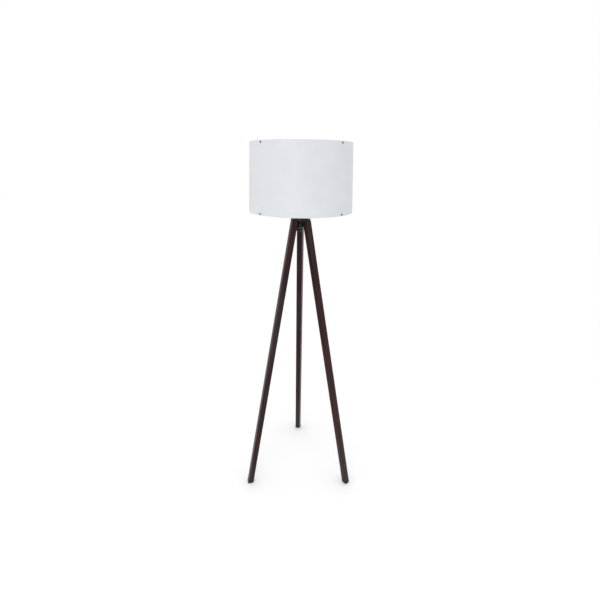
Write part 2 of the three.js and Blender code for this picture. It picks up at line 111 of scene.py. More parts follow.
# Screw threads: (pitch, depth)
LEG_THREAD = (1.25 * MM, 0.65 * MM)
WOOD_THREAD = (2.6 * MM, 1.1 * MM)
NIPPLE_THREAD = (1.0 * MM, 0.5 * MM)
SHELL_THREAD = (2.6 * MM, 0.9 * MM)
BULB_THREAD = (3.63 * MM, 1.1 * MM)
SHADE_SCREW_THREAD = (1.1 * MM, 0.45 * MM)


# ---- Mesh helpers ----

def wave(turns):
    """A rounded thread: 0 on the crest, 1 in the root, over one turn."""
    return 0.5 - 0.5 * math.cos(TAU * turns)


def turned(profile, segments=96, closed=False, pitch=None):
    """A body of revolution: (radius, z) points up the outside, with a third value for a thread's depth."""
    bm = bmesh.new()
    rings = []
    for point in profile:
        radius, z = point[:2]
        depth = point[2] if len(point) > 2 else 0.0
        if radius < 1e-7:
            rings.append([bm.verts.new((0, 0, z))])
            continue
        ring = []
        for step in range(segments):
            angle = TAU * step / segments
            cut = depth * wave(z / pitch - step / segments) if depth else 0.0
            ring.append(bm.verts.new(((radius - cut) * math.cos(angle), (radius - cut) * math.sin(angle), z)))
        rings.append(ring)
    pairs = list(zip(rings, rings[1:]))
    if closed:
        pairs.append((rings[-1], rings[0]))
    for low, high in pairs:
        for i in range(segments):
            j = (i + 1) % segments
            if len(low) == 1:
                bm.faces.new((low[0], high[j], high[i]))
            elif len(high) == 1:
                bm.faces.new((low[i], low[j], high[0]))
            else:
                bm.faces.new((low[i], low[j], high[j], high[i]))
    return bm


def threaded(radius, bottom, top, thread, steps=7):
    """Profile points up a threaded length; the thread fades out at both ends."""
    pitch, depth = thread
    count = max(2, round((top - bottom) / pitch * steps))
    points = []
    for step in range(count + 1):
        z = bottom + (top - bottom) * step / count
        fade = min(1.0, (z - bottom) / pitch, (top - z) / pitch)
        points.append((radius, z, depth * max(fade, 0.0)))
    return points


def prism(outline, bottom, top):
    bm = bmesh.new()
    low = [bm.verts.new((x, y, bottom)) for x, y in outline]
    high = [bm.verts.new((x, y, top)) for x, y in outline]
    for i in range(len(outline)):
        j = (i + 1) % len(outline)
        bm.faces.new((low[i], low[j], high[j], high[i]))
    bm.faces.new(list(reversed(low)))
    bm.faces.new(high)
    return bm


def rounded_square(side, radius, steps=4):
    """A square outline with round corners, anticlockwise."""
    inner = side / 2 - radius
    points = []
    for corner in range(4):
        turn = corner * math.pi / 2
        diagonal = turn + math.pi / 4
        middle = Vector((math.cos(diagonal), math.sin(diagonal))) * inner * math.sqrt(2)
        for step in range(steps + 1):
            angle = turn + math.pi / 2 * step / steps
            points.append((middle.x + radius * math.cos(angle), middle.y + radius * math.sin(angle)))
    return points


def object_from(name, bm, material, place=Matrix.Identity(4), sharp=math.radians(40)):
    bmesh.ops.recalc_face_normals(bm, faces=bm.faces)
    mesh = bpy.data.meshes.new(name)
    bm.to_mesh(mesh)
    bm.free()
    mesh.materials.append(material)
    mesh.shade_smooth()
    mesh.set_sharp_from_angle(angle=sharp)
    obj = bpy.data.objects.new(name, mesh)
    obj.matrix_world = place
    bpy.context.scene.collection.objects.link(obj)
    return obj


def bake_modifiers(obj):
    """Puts the modifiers' result into the mesh."""
    bpy.context.view_layer.update()
    evaluated = obj.evaluated_get(bpy.context.evaluated_depsgraph_get())
    mesh = bpy.data.meshes.new_from_object(evaluated)
    obj.modifiers.clear()
    obj.data = mesh


def combine(obj, bm, operation, place=None):
    """Cuts a tool out of obj, or joins it on."""
    tool = object_from("tool", bm, obj.data.materials[0], obj.matrix_world if place is None else place)
    modifier = obj.modifiers.new("combine", "BOOLEAN")
    modifier.operation = operation
    modifier.solver = "EXACT"
    modifier.object = tool
    bake_modifiers(obj)
    bpy.data.objects.remove(tool)


def soften(obj, width, segments=3, angle=math.radians(35)):
    """Rounds the sharp edges."""
    modifier = obj.modifiers.new("soften", "BEVEL")
    modifier.width = width
    modifier.segments = segments
    modifier.limit_method = "ANGLE"
    modifier.angle_limit = angle
    modifier.harden_normals = True
    bake_modifiers(obj)


def rod(radius, bottom, top, segments=48):
    return turned([(0, bottom), (radius, bottom), (radius, top), (0, top)], segments)


def tube(inner, outer, bottom, top, segments=64):
    return turned([(inner, bottom), (outer, bottom), (outer, top), (inner, top)], segments, closed=True)


def finish_piece(obj, body, slot, *nodes):
    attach(obj, body)
    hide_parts(*nodes)


# ---- Material helpers ----

class Surface:
    """A Principled material and short ways to add nodes to it."""

    def __init__(self, name, shift=0.0, **values):
        self.shift = shift
        self.material = bpy.data.materials.new(name)
        self.material.use_nodes = True
        self.tree = self.material.node_tree
        self.shader = self.tree.nodes["Principled BSDF"]
        for key, value in values.items():
            self.shader.inputs[key.replace("_", " ")].default_value = value

    def node(self, kind, links=(), **values):
        node = self.tree.nodes.new(kind)
        for key, value in values.items():
            if key in node.bl_rna.properties:
                setattr(node, key, value)
            else:
                node.inputs[key.replace("_", " ")].default_value = value
        for socket, source in dict(links).items():
            self.tree.links.new(source, node.inputs[socket])
        return node

    def coordinates(self, stretch=(1, 1, 1)):
        place = self.node("ShaderNodeTexCoord").outputs["Object"]
        mapping = self.node("ShaderNodeMapping", {"Vector": place})
        mapping.inputs["Scale"].default_value = stretch
        mapping.inputs["Location"].default_value = (self.shift, self.shift, self.shift)
        return mapping.outputs["Vector"]

    def noise(self, scale, detail=4.0, roughness=0.55, stretch=(1, 1, 1)):
        return self.node("ShaderNodeTexNoise", {"Vector": self.coordinates(stretch)},
                         Scale=scale, Detail=detail, Roughness=roughness).outputs["Fac"]

    def ramp(self, source, *stops):
        """A colour ramp with (position, colour or grey) stops."""
        node = self.node("ShaderNodeValToRGB", {"Fac": source})
        elements = node.color_ramp.elements
        while len(elements) < len(stops):
            elements.new(0.5)
        for element, (position, colour) in zip(elements, stops):
            element.position = position
            element.color = (*colour, 1) if isinstance(colour, tuple) else (colour, colour, colour, 1)
        return node.outputs["Color"]

    def mix(self, factor, first, second, blend="MIX"):
        node = self.tree.nodes.new("ShaderNodeMix")
        node.data_type = "RGBA"
        node.blend_type = blend
        for socket, value in ((node.inputs[0], factor), (node.inputs[6], first), (node.inputs[7], second)):
            if isinstance(value, bpy.types.NodeSocket):
                self.tree.links.new(value, socket)
            elif isinstance(value, tuple):
                socket.default_value = (*value, 1)
            else:
                socket.default_value = value
        return node.outputs[2]

    def feed(self, socket, source):
        self.tree.links.new(source, self.shader.inputs[socket])

    def bump(self, source, distance, strength=1.0, under=None):
        links = {"Height": source}
        if under is not None:
            links["Normal"] = under
        node = self.node("ShaderNodeBump", links, Strength=strength, Distance=distance)
        return node.outputs["Normal"]


def dark_walnut(side, shift):
    """Stained wood under satin lacquer; the grain runs along local Z and differs from leg to leg. Towards the foot
    it turns grey, a painted reflection of the bright floor.
    """
    s = Surface("dark_walnut_" + side, shift)
    s.shader.inputs["Specular IOR Level"].default_value = 0.12
    grain = s.noise(260, 7, 0.62, (1, 1, 0.03))
    streaks = s.noise(900, 4, 0.6, (1, 1, 0.016))
    patches = s.noise(9, 3, 0.5, (1, 1, 0.45))
    brown = s.ramp(grain, (0.30, (0.013, 0.0036, 0.0037)), (0.52, (0.033, 0.0088, 0.0092)),
                   (0.72, (0.064, 0.0190, 0.0190)))
    cool = s.ramp(grain, (0.30, (0.014, 0.0105, 0.0095)), (0.55, (0.030, 0.0225, 0.0205)),
                  (0.75, (0.052, 0.0400, 0.0360)))
    height = s.node("ShaderNodeSeparateXYZ", {"Vector": s.node("ShaderNodeTexCoord").outputs["Object"]})
    # Painted reflection: the last stretch towards the foot turns to the cool grey, standing in for the bright
    # floor reflected in the lacquer; elsewhere the cool grey comes in random patches of the wood's own tone.
    foot_floor_sheen = s.node("ShaderNodeMapRange", {"Value": height.outputs["Z"]}, From_Min=-0.95, From_Max=-1.12)
    grey_patches_and_floor_sheen = s.mix(foot_floor_sheen.outputs["Result"], s.ramp(patches, (0.42, 0.0), (0.64, 0.7)), (0.9, 0.9, 0.9))
    colour = s.mix(grey_patches_and_floor_sheen, brown, cool)
    pores = s.ramp(streaks, (0.36, 0.35), (0.47, 1.0))
    s.feed("Base Color", s.mix(1.0, colour, pores, "MULTIPLY"))
    s.feed("Roughness", s.ramp(grain, (0.3, 0.30), (0.7, 0.22)))
    fine = s.bump(pores, 0.05 * MM, 0.6)
    s.feed("Normal", s.bump(grain, 0.10 * MM, 0.5, fine))
    return s.material


def rolled_sheet():
    """Satin white translucent sheet, with a faint cloudiness and the ripple of a rolled sheet."""
    s = Surface("rolled_sheet", Subsurface_Weight=0.3, Subsurface_Scale=2 * MM)
    s.shader.inputs["Specular IOR Level"].default_value = 0.3
    s.shader.inputs["Subsurface Radius"].default_value = (1.0, 0.95, 0.9)
    cloud = s.noise(14, 4, 0.5)
    s.feed("Base Color", s.ramp(cloud, (0.3, (0.580, 0.600, 0.622)), (0.7, (0.600, 0.618, 0.640))))
    s.feed("Roughness", s.ramp(s.noise(60, 3), (0.3, 0.42), (0.7, 0.50)))
    ripple = s.bump(s.noise(7, 2, 0.5, (1, 1, 0.35)), 1.2 * MM, 0.35)
    s.feed("Normal", s.bump(s.noise(1800, 2), 0.02 * MM, 0.5, ripple))
    return s.material


def painted(name, dark, light, roughness, peel=0.03 * MM, grain=(1, 1, 1)):
    """Paint with a fine orange peel."""
    s = Surface(name)
    s.shader.inputs["Specular IOR Level"].default_value = 0.2
    s.feed("Base Color", s.ramp(s.noise(40, 5, 0.6, grain), (0.3, dark), (0.7, light)))
    s.feed("Roughness", s.ramp(s.noise(300, 3), (0.3, roughness - 0.05), (0.7, roughness + 0.06)))
    s.feed("Normal", s.bump(s.noise(900, 3), peel, 0.5))
    return s.material


def metal(name, dark, light, roughness, brushed=(1, 1, 1)):
    """Plated or oxidised metal with fine handling marks."""
    s = Surface(name, Metallic=1.0)
    s.feed("Base Color", s.ramp(s.noise(120, 4), (0.3, dark), (0.7, light)))
    s.feed("Roughness", s.ramp(s.noise(900, 3, 0.6, brushed), (0.3, roughness - 0.08), (0.7, roughness + 0.1)))
    s.feed("Normal", s.bump(s.noise(2400, 2, 0.5, brushed), 0.01 * MM, 0.5))
    return s.material


def pad_rubber():
    s = Surface("pad_rubber")
    s.feed("Base Color", s.ramp(s.noise(220, 5), (0.3, (0.010, 0.010, 0.010)), (0.75, (0.024, 0.024, 0.023))))
    s.feed("Roughness", s.ramp(s.noise(400, 3), (0.3, 0.72), (0.7, 0.88)))
    s.feed("Normal", s.bump(s.noise(1600, 4), 0.08 * MM, 0.6))
    return s.material


def opal_glass():
    s = Surface("opal_glass", Subsurface_Weight=0.4, Subsurface_Scale=3 * MM, IOR=1.5)
    s.shader.inputs["Subsurface Radius"].default_value = (1.0, 0.95, 0.9)
    s.feed("Base Color", s.ramp(s.noise(25, 3), (0.3, (0.86, 0.85, 0.83)), (0.7, (0.90, 0.895, 0.875))))
    s.feed("Roughness", s.ramp(s.noise(300, 3), (0.3, 0.22), (0.7, 0.34)))
    s.feed("Normal", s.bump(s.noise(1500, 2), 0.01 * MM, 0.4))
    return s.material


def porcelain():
    s = Surface("porcelain", Coat_Weight=0.6, Coat_Roughness=0.08)
    s.feed("Base Color", s.ramp(s.noise(90, 4), (0.3, (0.74, 0.72, 0.67)), (0.7, (0.82, 0.80, 0.76))))
    s.feed("Roughness", s.ramp(s.noise(500, 3), (0.3, 0.30), (0.7, 0.42)))
    s.feed("Normal", s.bump(s.noise(700, 3), 0.04 * MM, 0.5))
    return s.material


WOOD = {side: dark_walnut(side, 0.37 * index) for index, side in enumerate(SIDES)}
SHEET_WHITE = rolled_sheet()
HUB_BLACK = painted("hub_black", (0.007, 0.0065, 0.006), (0.012, 0.011, 0.0105), 0.36)
PLASTIC = painted("black_plastic", (0.009, 0.009, 0.009), (0.017, 0.017, 0.017), 0.42, 0.015 * MM)
SPIDER_WHITE = painted("spider_white", (0.70, 0.69, 0.665), (0.77, 0.76, 0.74), 0.58, 0.05 * MM, (1, 1, 4))
# Black steel: the shade screws' own finish; on the nipple, its washer and nuts below the hub the black is partly
# painted shade.
BLACK_STEEL = metal("black_steel", (0.030, 0.026, 0.024), (0.060, 0.052, 0.047), 0.38)
STEEL = metal("zinc_steel", (0.50, 0.51, 0.53), (0.66, 0.67, 0.68), 0.30, (1, 1, 0.05))
BRASS = metal("brass", (0.62, 0.43, 0.16), (0.78, 0.58, 0.27), 0.26)
RUBBER = pad_rubber()
OPAL = opal_glass()
PORCELAIN = porcelain()


# ---- Shade ----

def shade_radius(z):
    """The sheet's outer radius at a height."""
    low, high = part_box("shade_sheet")
    bottom_radius = AXIS.y - low.y
    return bottom_radius + (SHADE_TOP_RADIUS - bottom_radius) * (z - low.z) / (high.z - low.z)


def shade_sheet():
    """One rolled sheet, slightly wider at the bottom, lapped over its own start at the back."""
    low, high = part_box("shade_sheet")
    top_radius, bottom_radius = shade_radius(high.z), shade_radius(low.z)
    steps, rows = 384, 12
    mean = (top_radius + bottom_radius) / 2
    lap, ramp = SHEET_LAP / mean, SHEET_RAMP / mean
    bm = bmesh.new()
    columns = []
    for step in range(steps + 1):
        turn = (TAU + lap) * step / steps
        rise = min(max((turn - TAU + ramp) / ramp, 0.0), 1.0)
        lift = (SHEET + LAP_GAP) * rise * rise * (3 - 2 * rise)
        angle = math.pi / 2 - lap / 2 + turn
        column = []
        for row in range(rows + 1):
            share = row / rows
            radius = bottom_radius + (top_radius - bottom_radius) * share + lift
            z = low.z + (high.z - low.z) * share
            column.append([bm.verts.new((AXIS.x + r * math.cos(angle), AXIS.y + r * math.sin(angle), z))
                           for r in (radius - SHEET, radius)])
        columns.append(column)
    for here, there in zip(columns, columns[1:]):
        for row in range(rows):
            bm.faces.new((here[row][1], there[row][1], there[row + 1][1], here[row + 1][1]))
            bm.faces.new((here[row][0], here[row + 1][0], there[row + 1][0], there[row][0]))
        bm.faces.new((here[0][0], there[0][0], there[0][1], here[0][1]))
        bm.faces.new((here[rows][1], there[rows][1], there[rows][0], here[rows][0]))
    for column, flip in ((columns[0], False), (columns[-1], True)):
        for row in range(rows):
            corners = [column[row][0], column[row][1], column[row + 1][1], column[row + 1][0]]
            bm.faces.new(corners[::-1] if flip else corners)
    obj = object_from("rolled_sheet", bm, SHEET_WHITE, sharp=math.radians(60))
    soften(obj, 0.35 * MM, 2, math.radians(60))
    finish_piece(obj, "frame", "shade_sheet", "shade_sheet")


def spider_outline(reach, disc, half_width, fillet):
    """Four arms on a disc, with fillets where they meet it, anticlockwise."""
    centre_distance = disc + fillet
    fillet_y = half_width + fillet
    fillet_x = math.sqrt(centre_distance ** 2 - fillet_y ** 2)
    meet = math.atan2(fillet_y, fillet_x)
    points = []
    arms = sorted(math.atan2(p.y, p.x) for p in (centre("shade_screw_top_" + arm) - AXIS for arm in ARMS))
    end_angle = math.asin(half_width / reach)
    steps = 8
    for arm in arms:
        turn = Matrix.Rotation(arm, 2)
        local = []
        for step in range(steps + 1):
            bend = math.pi - meet + (meet - math.pi / 2) * step / steps
            local.append((fillet_x + fillet * math.cos(bend), -fillet_y + fillet * math.sin(bend)))
        for step in range(steps + 1):
            angle = -end_angle + 2 * end_angle * step / steps
            local.append((reach * math.cos(angle), reach * math.sin(angle)))
        local += [(x, -y) for x, y in reversed(local[:steps + 1])]
        points += [turn @ Vector(p) for p in local]
        following = arms[(arms.index(arm) + 1) % 4]
        gap = (following - arm) % TAU
        for step in range(1, 12):
            angle = arm + meet + (gap - 2 * meet) * step / 12
            points.append(Vector((disc * math.cos(angle), disc * math.sin(angle))))
    return [(p.x, p.y) for p in points]


def spider(node, hole_radius):
    low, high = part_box(node)
    reach = shade_radius(high.z) - SHEET - SHADE_CLEARANCE
    outline = spider_outline(reach, SPIDER_DISC, SPIDER_ARM / 2, SPIDER_FILLET)
    obj = object_from(node + "_painted", prism(outline, low.z, high.z), SPIDER_WHITE,
                      Matrix.Translation(AXIS))
    combine(obj, rod(hole_radius, low.z - 0.01, high.z + 0.01, 96), "DIFFERENCE")
    soften(obj, 0.8 * MM)
    finish_piece(obj, "frame", "spider_white", node)


def screw_mesh(length, shank, head, head_height):
    """A pan-head screw along local +Z, with a cross recess and a pointed thread."""
    tip = [(0, -length), (0.25 * MM, -length + 0.3 * MM)]
    thread = threaded(shank, -length + 2.4 * MM, -0.6 * MM, SHADE_SCREW_THREAD, 6)
    dome = [(head * math.cos(a), head_height * (0.35 + 0.65 * math.sin(a)))
            for a in (math.pi / 2 * step / 8 for step in range(8))]
    profile = tip + thread + [(shank, 0), (head * 0.96, 0), (head, 0.12 * MM)] + dome + [(0, head_height)]
    obj = object_from("shade_screw", turned(profile, 32, pitch=SHADE_SCREW_THREAD[0]), BLACK_STEEL)
    wide, narrow, deep = head * 1.15, head * 0.26, head_height * 0.62
    for turn in (0, math.pi / 2):
        outline = [(-wide / 2, -narrow / 2), (wide / 2, -narrow / 2), (wide / 2, narrow / 2),
                   (-wide / 2, narrow / 2)]
        slot = prism(outline, head_height - deep, head_height + MM)
        bmesh.ops.rotate(slot, verts=slot.verts, matrix=Matrix.Rotation(turn, 3, "Z"))
        combine(obj, slot, "DIFFERENCE")
    obj.data.shade_smooth()
    obj.data.set_sharp_from_angle(angle=math.radians(40))
    mesh = obj.data
    bpy.data.objects.remove(obj)
    return mesh


def shade_screws():
    mesh = screw_mesh(14 * MM, 1.35 * MM, 3 * MM, 1.8 * MM)
    for row in ROWS:
        for index, arm in enumerate(ARMS):
            node = f"shade_screw_{row}_{arm}"
            low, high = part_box(node)
            middle = (low + high) / 2 - AXIS
            outward = Vector((middle.x, middle.y, 0)).normalized()
            seat = AXIS + Vector((0, 0, middle.z)) + outward * (shade_radius(middle.z) + SHADE_CLEARANCE)
            obj = bpy.data.objects.new(node + "_head", mesh)
            spin = Matrix.Rotation(0.4 + 0.9 * index, 4, "Z")
            facing = outward.to_track_quat("Z", "Y").to_matrix().to_4x4()
            obj.matrix_world = Matrix.Translation(seat) @ facing @ spin
            bpy.context.scene.collection.objects.link(obj)
            finish_piece(obj, "frame", "black_steel", node)


# ---- Legs ----

def leg_frame(side):
    """The leg's own frame: origin at its top face, +Z up along the leg, turned with its faces."""
    joint = JOINTS[f"leg_{side}_unscrew"]
    up = -Vector(joint["axis"]).normalized()
    top = Vector(joint["pos_m"])
    radial = (top - AXIS) * Vector((1, 1, 0))
    across = up.cross(radial).normalized()
    outward = across.cross(up)
    turn = Matrix((outward, across, up)).transposed().to_4x4()
    return Matrix.Translation(top) @ turn @ Matrix.Rotation(LEG_TWIST[side], 4, "Z")


def trim(bm, place, height, keep_above):
    """Cuts a bar level at a height above the floor, in the bar's own frame, and closes the cut."""
    inverse = place.inverted()
    point = inverse @ Vector((0, 0, height))
    origin = inverse @ Vector((0, 0, 0))
    normal = ((inverse @ Vector((0, 0, 1))) - origin).normalized()
    geometry = bm.verts[:] + bm.edges[:] + bm.faces[:]
    result = bmesh.ops.bisect_plane(bm, geom=geometry, plane_co=point, plane_no=normal,
                                    clear_inner=keep_above, clear_outer=not keep_above)
    edges = [item for item in result["geom_cut"] if isinstance(item, bmesh.types.BMEdge)]
    bmesh.ops.contextual_create(bm, geom=edges)


def leg(side):
    place = leg_frame(side)
    length = place.translation.z / abs(JOINTS[f"leg_{side}_unscrew"]["axis"][2])
    bm = prism(rounded_square(LEG_SIDE, LEG_EDGE_RADIUS), -length - LEG_SIDE, 0)
    trim(bm, place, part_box(f"leg_{side}")[0].z, True)
    obj = object_from(f"leg_{side}_wood", bm, WOOD[side], place)
    soften(obj, 1.4 * MM, 3, math.radians(40))
    combine(obj, rod(LEG_BORE, -42 * MM, 5 * MM, 32), "DIFFERENCE")
    finish_piece(obj, f"leg_{side}", "leg_wood", f"leg_{side}")


def foot_pad(side):
    place = leg_frame(side)
    length = place.translation.z / abs(JOINTS[f"leg_{side}_unscrew"]["axis"][2])
    bm = prism(rounded_square(LEG_SIDE, LEG_EDGE_RADIUS), -length - LEG_SIDE, -length + 2 * LEG_SIDE)
    trim(bm, place, PAD_HEIGHT, False)
    trim(bm, place, 0, True)
    obj = object_from(f"foot_pad_{side}_rubber", bm, RUBBER, place)
    soften(obj, 0.9 * MM, 3, math.radians(40))
    finish_piece(obj, f"leg_{side}", "foot_rubber", f"foot_pad_{side}")


def leg_bolt(side):
    wood = threaded(3.4 * MM, -34 * MM, -3 * MM, WOOD_THREAD)
    screw = threaded(3.9 * MM, 1 * MM, 12 * MM, LEG_THREAD, 6)
    low = turned([(0, -38 * MM), (0.6 * MM, -37.6 * MM)] + wood + [(2.9 * MM, -2 * MM), (2.9 * MM, 0.4 * MM),
                 (0, 0.4 * MM)], 32, pitch=WOOD_THREAD[0])
    obj = object_from(f"leg_bolt_{side}_thread", low, STEEL, leg_frame(side))
    high = turned([(0, 0), (2.9 * MM, 0), (3.2 * MM, 0.6 * MM)] + screw + [(2.9 * MM, 12.5 * MM), (0, 12.5 * MM)],
                  32, pitch=LEG_THREAD[0])
    combine(obj, high, "UNION")
    finish_piece(obj, f"leg_bolt_{side}", "steel", f"leg_bolt_{side}")


def legs():
    for side in SIDES:
        leg(side)
        foot_pad(side)
        leg_bolt(side)


# ---- Hub, nipple and cord inlet ----

def hub():
    """A turned disc with a shallow cone underneath and a stem that widens downwards between the legs; the stem's
    black fills the gap between the legs' tops, partly as a real part and partly as painted shade.
    """
    low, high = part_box("hub")
    radius = (high.x - low.x) / 2
    rim = high.z - HUB_THICKNESS
    joint = JOINTS["leg_back_unscrew"]
    slope = math.hypot(*joint["axis"][:2]) / abs(joint["axis"][2])
    under = rim - (radius - STEM_TOP) * slope
    profile = [(NIPPLE_HOLE, low.z), (STEM_BOTTOM, low.z), (STEM_TOP, under), (radius, rim),
               (radius, high.z), (NIPPLE_HOLE, high.z)]
    obj = object_from("hub_turned", turned(profile, 128, closed=True), HUB_BLACK, Matrix.Translation(AXIS))
    soften(obj, 1.0 * MM, 4)
    for side in SIDES:
        combine(obj, rod(INSERT_BORE, -6 * MM, 14.3 * MM, 48), "DIFFERENCE", leg_frame(side))
    finish_piece(obj, "frame", "hub_black", "hub")


# The nipple, washer and nuts below the hub are black steel; their black is partly painted shade under the hub.
def nipple():
    low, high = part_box("nipple")
    outer = (high.x - low.x) / 2
    profile = [(NIPPLE_BORE, low.z), (outer - 0.4 * MM, low.z)]
    profile += threaded(outer, low.z + 0.4 * MM, high.z - 0.4 * MM, NIPPLE_THREAD, 5)
    profile += [(outer - 0.4 * MM, high.z), (NIPPLE_BORE, high.z)]
    obj = object_from("nipple_thread", turned(profile, 32, closed=True, pitch=NIPPLE_THREAD[0]), BLACK_STEEL,
                      Matrix.Translation(AXIS))
    finish_piece(obj, "frame", "black_steel", "nipple")


def hex_nut(node):
    low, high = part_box(node)
    across = (high.x - low.x) / 2
    outline = [(across * math.cos(math.pi / 3 * i), across * math.sin(math.pi / 3 * i)) for i in range(6)]
    obj = object_from(node + "_hex", prism(outline, low.z, high.z), BLACK_STEEL, Matrix.Translation(AXIS))
    combine(obj, rod(NUT_BORE, low.z - MM, high.z + MM, 48), "DIFFERENCE")
    chamfer = 1.3 * MM
    flank = across + 0.2 * MM
    middle = (low.z + high.z) / 2
    half = (high.z - low.z) / 2
    face, side = flank - chamfer * 1.3, half - chamfer * 0.6
    keep = turned([(0, middle - half), (face, middle - half), (flank, middle - side), (flank, middle + side),
                   (face, middle + half), (0, middle + half)], 96)
    combine(obj, keep, "INTERSECT")
    soften(obj, 0.15 * MM, 2)
    finish_piece(obj, "frame", "black_steel", node)


def washer():
    low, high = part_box("nipple_washer")
    obj = object_from("nipple_washer_ring", tube(NUT_BORE, (high.x - low.x) / 2, low.z, high.z, 96), BLACK_STEEL,
                      Matrix.Translation(AXIS))
    soften(obj, 0.25 * MM)
    finish_piece(obj, "frame", "black_steel", "nipple_washer")


def oval(width, height, steps=12):
    radius = height / 2
    flat = width / 2 - radius
    points = []
    for side, start in ((1, -math.pi / 2), (-1, math.pi / 2)):
        for step in range(steps + 1):
            angle = start + math.pi * step / steps
            points.append((side * flat + radius * math.cos(angle), radius * math.sin(angle)))
    return points


def cord_inlet():
    """A moulded cap under the stem with an oval spout out to one side."""
    low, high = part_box("cord_inlet")
    radius = 7.5 * MM
    spout_z = low.z + 5.7 * MM
    reach = SPOUT_REACH
    along = Matrix.Translation(AXIS + Vector((0, 0, spout_z))) @ Matrix.Rotation(SPOUT_AZIMUTH, 4, "Z")
    along = along @ Matrix.Rotation(math.pi / 2, 4, "Z") @ Matrix.Rotation(math.pi / 2, 4, "X")
    profile = [(0, low.z), (radius - 2.2 * MM, low.z), (radius - 0.6 * MM, low.z + 0.6 * MM),
               (radius, low.z + 2.2 * MM), (radius, high.z), (0, high.z)]
    obj = object_from("cord_inlet_moulding", turned(profile, 64), PLASTIC, Matrix.Translation(AXIS))
    combine(obj, prism(oval(7.4 * MM, 4.6 * MM), 0, reach - 0.2 * MM), "UNION", along)
    collar = prism(oval(8.4 * MM, 5.6 * MM), reach - 2.2 * MM, reach)
    combine(obj, collar, "UNION", along)
    soften(obj, 0.3 * MM, 3, math.radians(50))
    combine(obj, prism(oval(5.4 * MM, 3.2 * MM), 0, reach + MM), "DIFFERENCE", along)
    combine(obj, rod(NUT_BORE, spout_z - 1.6 * MM, high.z + MM), "DIFFERENCE")
    finish_piece(obj, "frame", "black_plastic", "cord_inlet")


# ---- Lampholder ----

def lampholder_cap():
    low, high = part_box("lampholder_cap")
    outer = (high.x - low.x) / 2
    rim = low.z + 13.7 * MM
    profile = [(NIPPLE_HOLE, low.z), (outer - 2.5 * MM, low.z), (outer - 0.7 * MM, low.z + 0.7 * MM),
               (outer, low.z + 2.5 * MM), (outer, rim), (17.3 * MM, rim), (17.3 * MM, high.z), (15.9 * MM, high.z),
               (15.9 * MM, low.z + 10.4 * MM), (13.9 * MM, low.z + 10.4 * MM), (13.9 * MM, low.z + 3.3 * MM),
               (NIPPLE_HOLE, low.z + 3.3 * MM)]
    obj = object_from("lampholder_cap_moulding", turned(profile, 96, closed=True), PLASTIC,
                      Matrix.Translation(AXIS))
    soften(obj, 0.4 * MM)
    finish_piece(obj, "frame", "black_plastic", "lampholder_cap")


def lampholder_shell():
    low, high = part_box("lampholder_shell")
    flange = (high.x - low.x) / 2
    bore, body = 17.6 * MM, 20.3 * MM
    top = low.z + 3.9 * MM
    profile = [(bore, low.z), (flange - 0.6 * MM, low.z), (flange, low.z + 0.6 * MM), (flange, top - 0.6 * MM),
               (flange - 0.6 * MM, top), (19.5 * MM, top)]
    profile += threaded(body, top + 0.8 * MM, high.z - 6 * MM, SHELL_THREAD)
    profile += [(19.5 * MM, high.z - 5 * MM), (19.5 * MM, high.z - MM), (18.7 * MM, high.z), (bore, high.z)]
    bm = turned(profile, 96, closed=True, pitch=SHELL_THREAD[0])
    obj = object_from("lampholder_shell_moulding", bm, PLASTIC, Matrix.Translation(AXIS))
    finish_piece(obj, "frame", "black_plastic", "lampholder_shell")


def shade_ring():
    low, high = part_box("shade_ring")
    outer = (high.x - low.x) / 2
    lobes, depth, steps = 20, 1.2 * MM, 240
    outline = []
    for step in range(steps):
        angle = TAU * step / steps
        radius = outer - depth * (0.5 - 0.5 * math.cos(lobes * angle)) ** 2
        outline.append((radius * math.cos(angle), radius * math.sin(angle)))
    obj = object_from("shade_ring_moulding", prism(outline, low.z, high.z), PLASTIC, Matrix.Translation(AXIS))
    combine(obj, rod(RING_BORE, low.z - MM, high.z + MM, 120), "DIFFERENCE")
    soften(obj, 0.6 * MM)
    finish_piece(obj, "shade_ring", "black_plastic", "shade_ring")


def screw_sleeve():
    low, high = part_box("lampholder_sleeve")
    outer = 14.6 * MM
    pitch = BULB_THREAD[0]
    wall = [(r + 0.35 * MM, z, 0.7 * MM if d else 0.0)
            for r, z, d in threaded(outer - 0.3 * MM, low.z + 1.2 * MM, high.z - MM, BULB_THREAD, 10)]
    inside = [(r - 0.45 * MM, z, d) for r, z, d in reversed(wall)]
    profile = [(11.6 * MM, low.z), (outer - 0.5 * MM, low.z), (outer - 0.1 * MM, low.z + 0.5 * MM)]
    profile += wall + [(outer, high.z), (outer - 0.45 * MM, high.z)] + inside
    profile += [(outer - 0.7 * MM, low.z + 0.6 * MM), (11.6 * MM, low.z + 0.5 * MM)]
    obj = object_from("lampholder_sleeve_thread", turned(profile, 64, closed=True, pitch=pitch), BRASS,
                      Matrix.Translation(AXIS))
    finish_piece(obj, "frame", "brass", "lampholder_sleeve")


# ---- Bulb ----

def bulb_base():
    low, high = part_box("bulb_base")
    radius = (high.x - low.x) / 2
    thread = threaded(radius, low.z + 1.6 * MM, high.z - 4 * MM, BULB_THREAD, 10)
    profile = [(0, low.z), (9.6 * MM, low.z), (11.4 * MM, low.z + 0.5 * MM), (12.1 * MM, low.z + 1.2 * MM)]
    profile += thread + [(radius - 0.5 * MM, high.z - 3 * MM), (radius - 0.3 * MM, high.z), (12.5 * MM, high.z),
                         (12.5 * MM, high.z - 7 * MM), (0, high.z - 7 * MM)]
    obj = object_from("bulb_base_thread", turned(profile, 64, pitch=BULB_THREAD[0]), STEEL,
                      Matrix.Translation(AXIS))
    finish_piece(obj, "bulb_base", "steel", "bulb_base")


